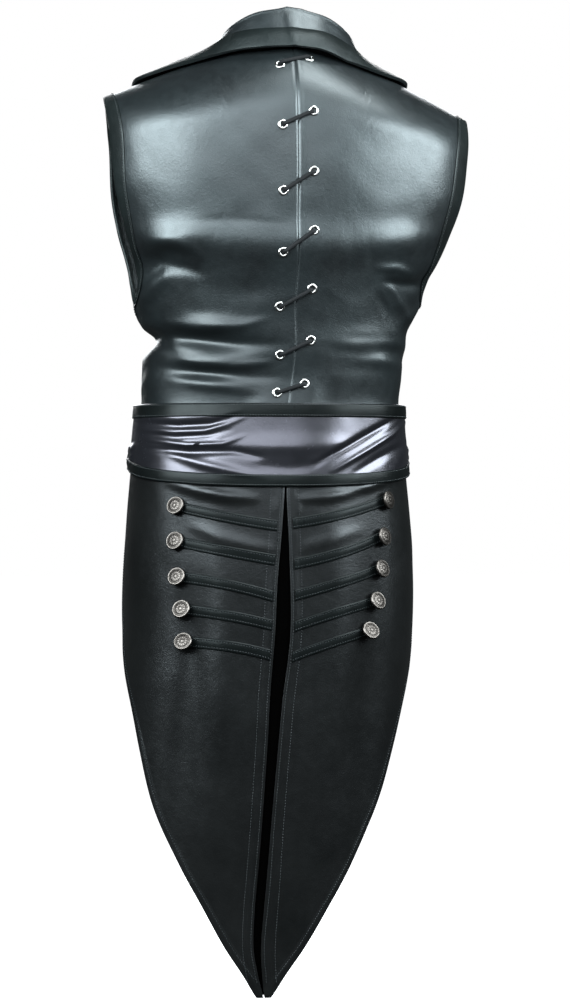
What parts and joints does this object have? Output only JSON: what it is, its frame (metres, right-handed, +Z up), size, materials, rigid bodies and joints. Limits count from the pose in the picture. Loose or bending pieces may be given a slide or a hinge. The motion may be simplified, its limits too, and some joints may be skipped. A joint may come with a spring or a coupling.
{
  "type": "leather tailcoat",
  "caption": "Sleeveless black leather tailcoat with a wide turned-down collar, laced back, waistband and two long tails.",
  "frame": {"origin": "between the shoulders, at the middle of the shoulder line, where the wearer carries the garment", "axes": "+Z up, +Y towards the garment's back, +X towards the wearer's left"},
  "size_m": [0.4556, 0.2707, 1.1975],
  "materials": {
    "leather": "satin",
    "tail_leather": "satin",
    "waist_leather": "gloss",
    "binding": "matte",
    "underlap": "matte",
    "lace": "matte",
    "nickel": "polished",
    "antique_silver": "brushed"
  },
  "bodies": {
    "root": {"armhole_binding_left": "binding", "armhole_binding_right": "binding", "back_left": "leather", "back_right": "leather", "collar": "leather", "collar_binding": "binding", "eyelet_left_1": "nickel", "eyelet_left_2": "nickel", "eyelet_left_3": "nickel", "eyelet_left_4": "nickel", "eyelet_left_5": "nickel", "eyelet_left_6": "nickel", "eyelet_left_7": "nickel", "eyelet_right_1": "nickel", "eyelet_right_2": "nickel", "eyelet_right_3": "nickel", "eyelet_right_4": "nickel", "eyelet_right_5": "nickel", "eyelet_right_6": "nickel", "eyelet_right_7": "nickel", "front_button_1": "antique_silver", "front_button_2": "antique_silver", "front_button_3": "antique_silver", "front_button_4": "antique_silver", "front_button_5": "antique_silver", "front_left": "leather", "front_right": "leather", "lace": "lace", "tail_band_left_1": "binding", "tail_band_left_2": "binding", "tail_band_left_3": "binding", "tail_band_left_4": "binding", "tail_band_left_5": "binding", "tail_band_right_1": "binding", "tail_band_right_2": "binding", "tail_band_right_3": "binding", "tail_band_right_4": "binding", "tail_band_right_5": "binding", "tail_button_left_1": "antique_silver", "tail_button_left_2": "antique_silver", "tail_button_left_3": "antique_silver", "tail_button_left_4": "antique_silver", "tail_button_left_5": "antique_silver", "tail_button_right_1": "antique_silver", "tail_button_right_2": "antique_silver", "tail_button_right_3": "antique_silver", "tail_button_right_4": "antique_silver", "tail_button_right_5": "antique_silver", "tail_left": "tail_leather", "tail_right": "tail_leather", "vent_underlap": "underlap", "waistband": "waist_leather", "waistband_bottom_binding": "binding", "waistband_top_binding": "binding"}
  },
  "joints": []
}
